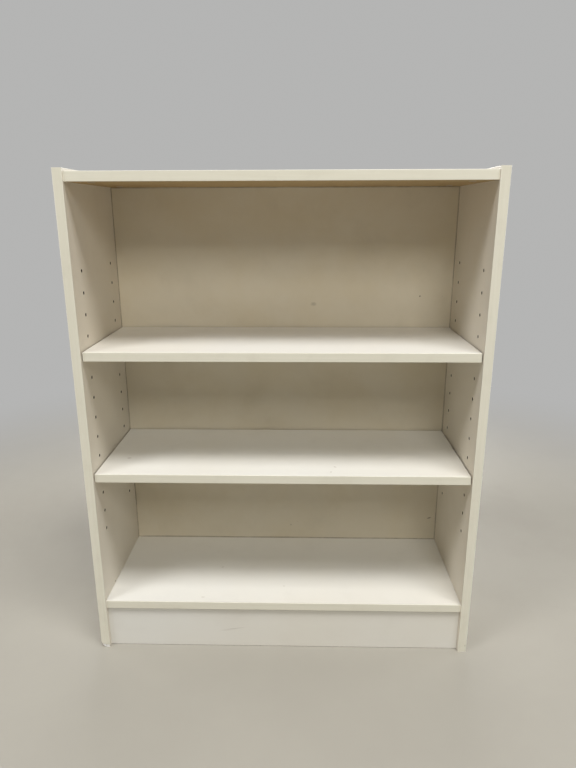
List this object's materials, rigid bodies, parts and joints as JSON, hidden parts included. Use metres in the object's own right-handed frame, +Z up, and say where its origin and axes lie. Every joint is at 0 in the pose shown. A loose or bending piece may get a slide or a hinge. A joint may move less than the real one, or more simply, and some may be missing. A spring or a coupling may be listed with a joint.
{
  "type": "bookcase",
  "caption": "Low open bookcase of white board with a recessed plinth, a nailed thin back and loose shelves that rest on pins in rows of holes.",
  "frame": {"origin": "centre of the footprint on the floor", "axes": "+Z up, the open front faces -Y, +X to the right seen from the front"},
  "size_m": [0.8, 0.28, 1],
  "materials": {
    "white_board": "white melamine facing, satin",
    "white_hardboard": "white printed hardboard",
    "edge_strip": "cream edge strip",
    "nickel_pin": "nickel plated",
    "zinc_fitting": "bare zinc",
    "beech_dowel": "plain beech",
    "steel_nail": "bright steel"
  },
  "bodies": {
    "carcass": {"left_side_panel": "white_board", "right_side_panel": "white_board", "top_panel": "white_board", "bottom_shelf": "white_board", "plinth": "white_board", "back_panel": "white_hardboard", "left_side_front_band": "edge_strip", "left_side_top_band": "edge_strip", "right_side_front_band": "edge_strip", "right_side_top_band": "edge_strip", "top_panel_band": "edge_strip", "bottom_shelf_band": "edge_strip", "upper_left_front_pin": "nickel_pin", "upper_left_rear_pin": "nickel_pin", "upper_right_front_pin": "nickel_pin", "upper_right_rear_pin": "nickel_pin", "lower_left_front_pin": "nickel_pin", "lower_left_rear_pin": "nickel_pin", "lower_right_front_pin": "nickel_pin", "lower_right_rear_pin": "nickel_pin", "top_left_cam_bolts": "zinc_fitting", "top_right_cam_bolts": "zinc_fitting", "bottom_left_cam_bolts": "zinc_fitting", "bottom_right_cam_bolts": "zinc_fitting", "top_left_cams": "zinc_fitting", "top_right_cams": "zinc_fitting", "bottom_left_cams": "zinc_fitting", "bottom_right_cams": "zinc_fitting", "top_left_dowels": "beech_dowel", "top_right_dowels": "beech_dowel", "bottom_left_dowels": "beech_dowel", "bottom_right_dowels": "beech_dowel", "plinth_left_dowels": "beech_dowel", "plinth_right_dowels": "beech_dowel", "left_back_nails": "steel_nail", "right_back_nails": "steel_nail", "top_back_nails": "steel_nail", "bottom_back_nails": "steel_nail"},
    "upper_shelf_set": {"upper_shelf": "white_board", "upper_shelf_band": "edge_strip"},
    "lower_shelf_set": {"lower_shelf": "white_board", "lower_shelf_band": "edge_strip"}
  },
  "joints": [
    {"name": "upper_shelf_lift", "type": "slide", "parent": "carcass", "child": "upper_shelf_set", "axis": [0, 0, 1], "range_m": [0, 0.3]},
    {"name": "lower_shelf_lift", "type": "slide", "parent": "carcass", "child": "lower_shelf_set", "axis": [0, 0, 1], "range_m": [0, 0.22]}
  ]
}
